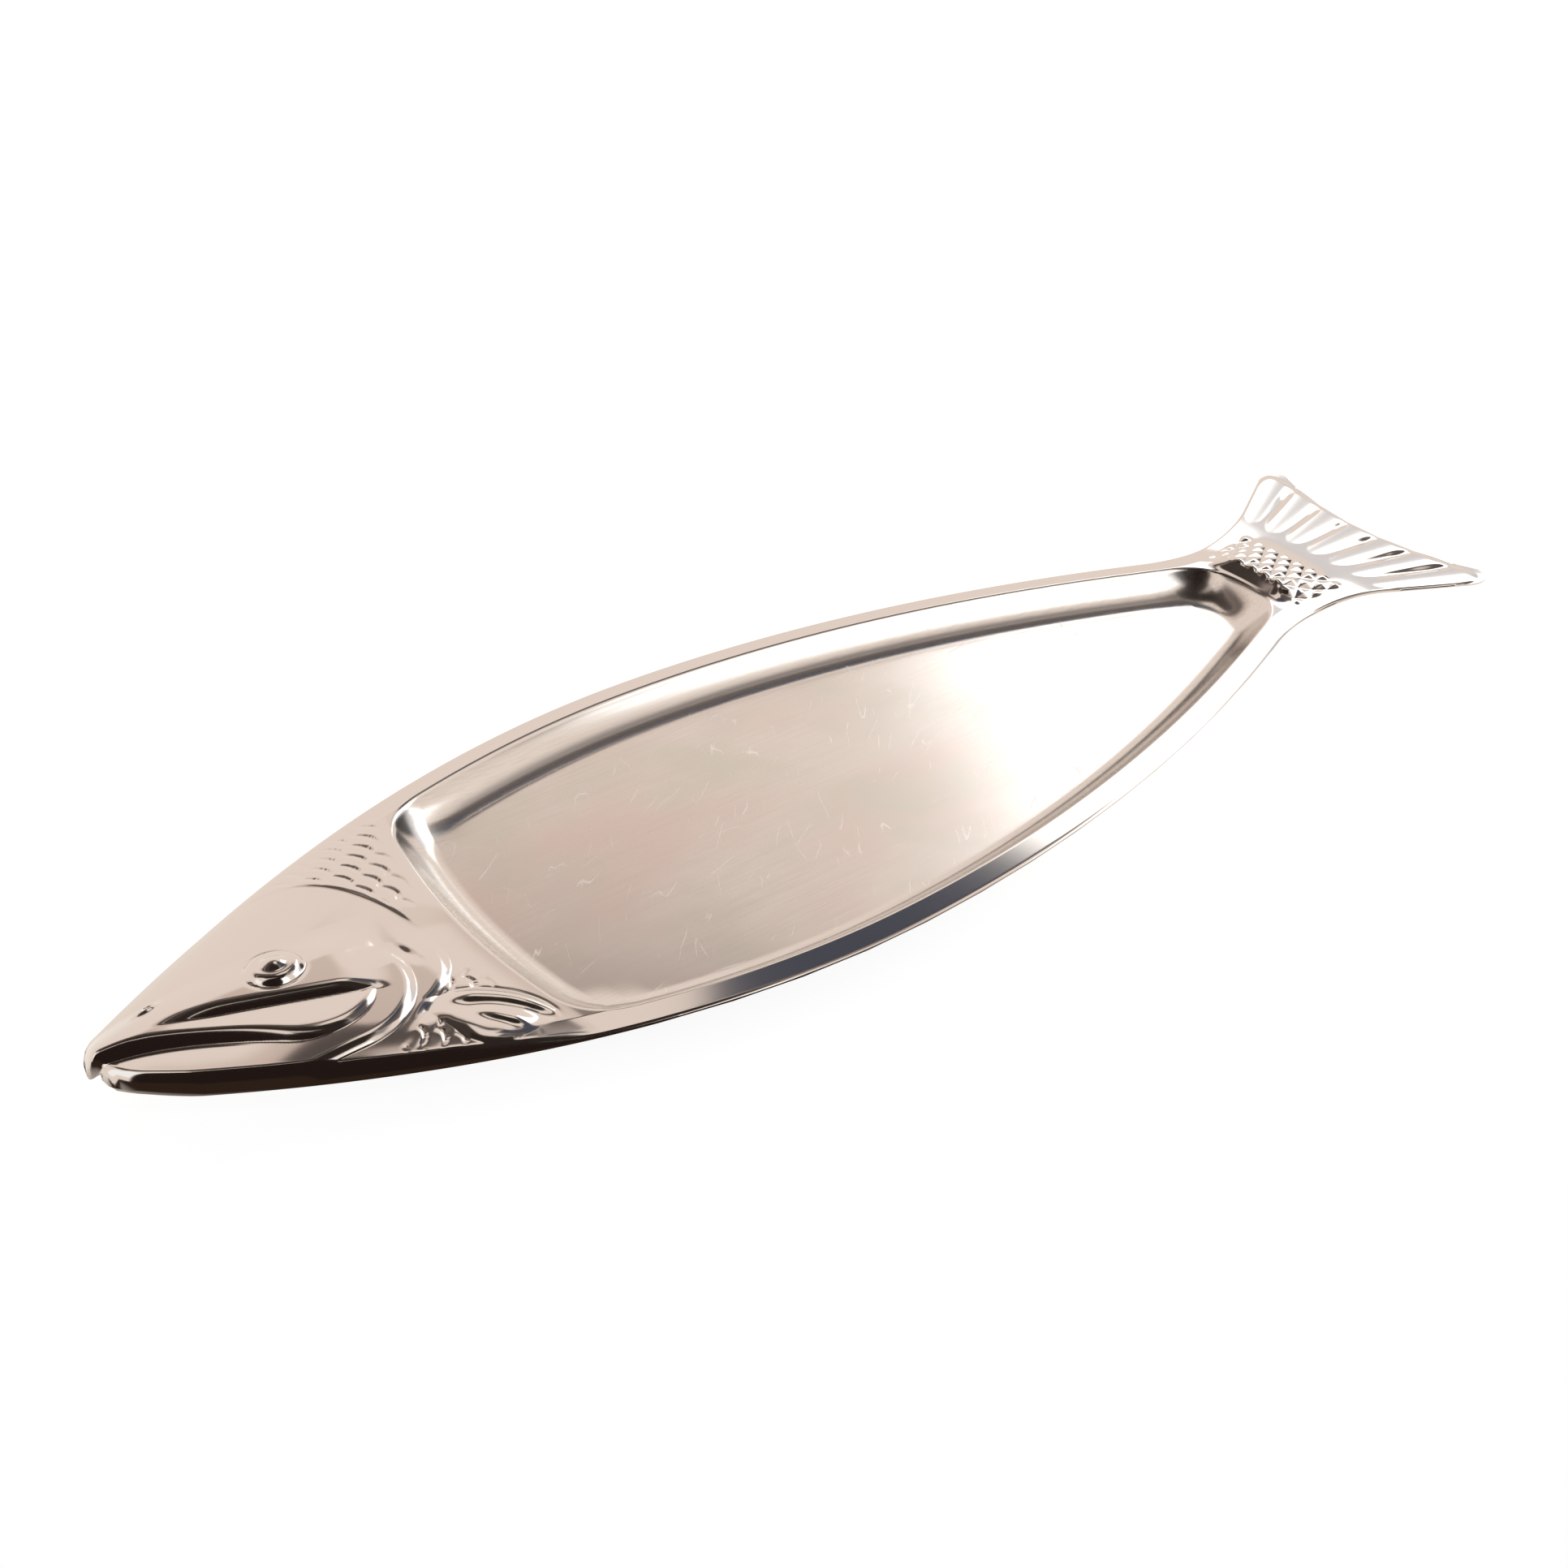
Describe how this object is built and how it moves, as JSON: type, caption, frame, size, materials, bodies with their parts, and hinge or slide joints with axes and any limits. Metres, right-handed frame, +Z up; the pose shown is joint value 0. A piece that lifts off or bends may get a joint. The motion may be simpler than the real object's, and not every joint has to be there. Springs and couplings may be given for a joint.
{
  "type": "fish-shaped serving platter",
  "caption": "Long serving platter pressed from stainless sheet in the shape of a fish, with an embossed head and tail and a sunken tray for a whole fish.",
  "frame": {"origin": "centre of the platter's box, on the plane of the tray's underside, on which it stands", "axes": "+X from the snout to the tail, +Y from the belly to the back of the fish, +Z up out of the tray"},
  "size_m": [0.65, 0.2046, 0.025],
  "materials": {
    "stainless_steel": "polished on the head, rim and tail, satin and brushed lengthwise on the tray floor"
  },
  "bodies": {
    "root": {"pressed_platter": "stainless_steel"}
  },
  "joints": []
}
